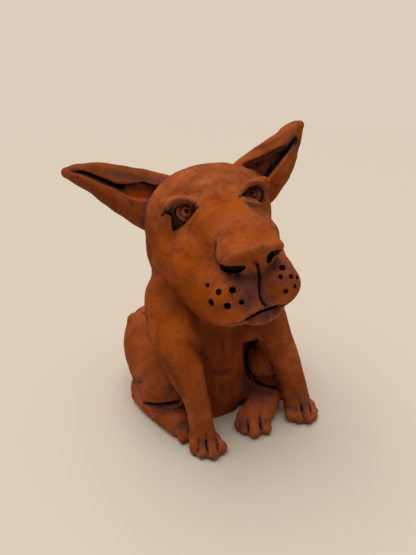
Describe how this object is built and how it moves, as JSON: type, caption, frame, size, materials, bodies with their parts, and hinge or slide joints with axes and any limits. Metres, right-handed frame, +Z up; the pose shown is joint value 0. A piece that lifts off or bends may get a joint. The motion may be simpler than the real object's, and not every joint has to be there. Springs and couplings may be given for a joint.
{
  "type": "terracotta dog sculpture",
  "caption": "Seated hand-built dog in unglazed terracotta with a broad muzzle, upright folded ears, whisker holes and a dark wash in its creases.",
  "frame": {"origin": "on the table under the middle of the dog's box", "axes": "+Z up, +X towards the dog's left, the dog faces -Y"},
  "size_m": [0.2598, 0.1936, 0.2811],
  "materials": {
    "terracotta": "matte",
    "washed_terracotta": "matte"
  },
  "bodies": {
    "root": {"torso": "terracotta", "neck": "terracotta", "foreleg_left": "terracotta", "foreleg_right": "terracotta", "haunch_left": "terracotta", "haunch_right": "terracotta", "hind_foot_left": "terracotta", "hind_foot_right": "terracotta", "tail": "terracotta", "skull": "terracotta", "muzzle": "terracotta", "nose_pad": "terracotta", "lower_jaw": "terracotta", "flew_left": "terracotta", "flew_right": "terracotta", "ear_left": "terracotta", "ear_right": "terracotta", "eyeball_left": "washed_terracotta", "eyeball_right": "washed_terracotta"}
  },
  "joints": []
}
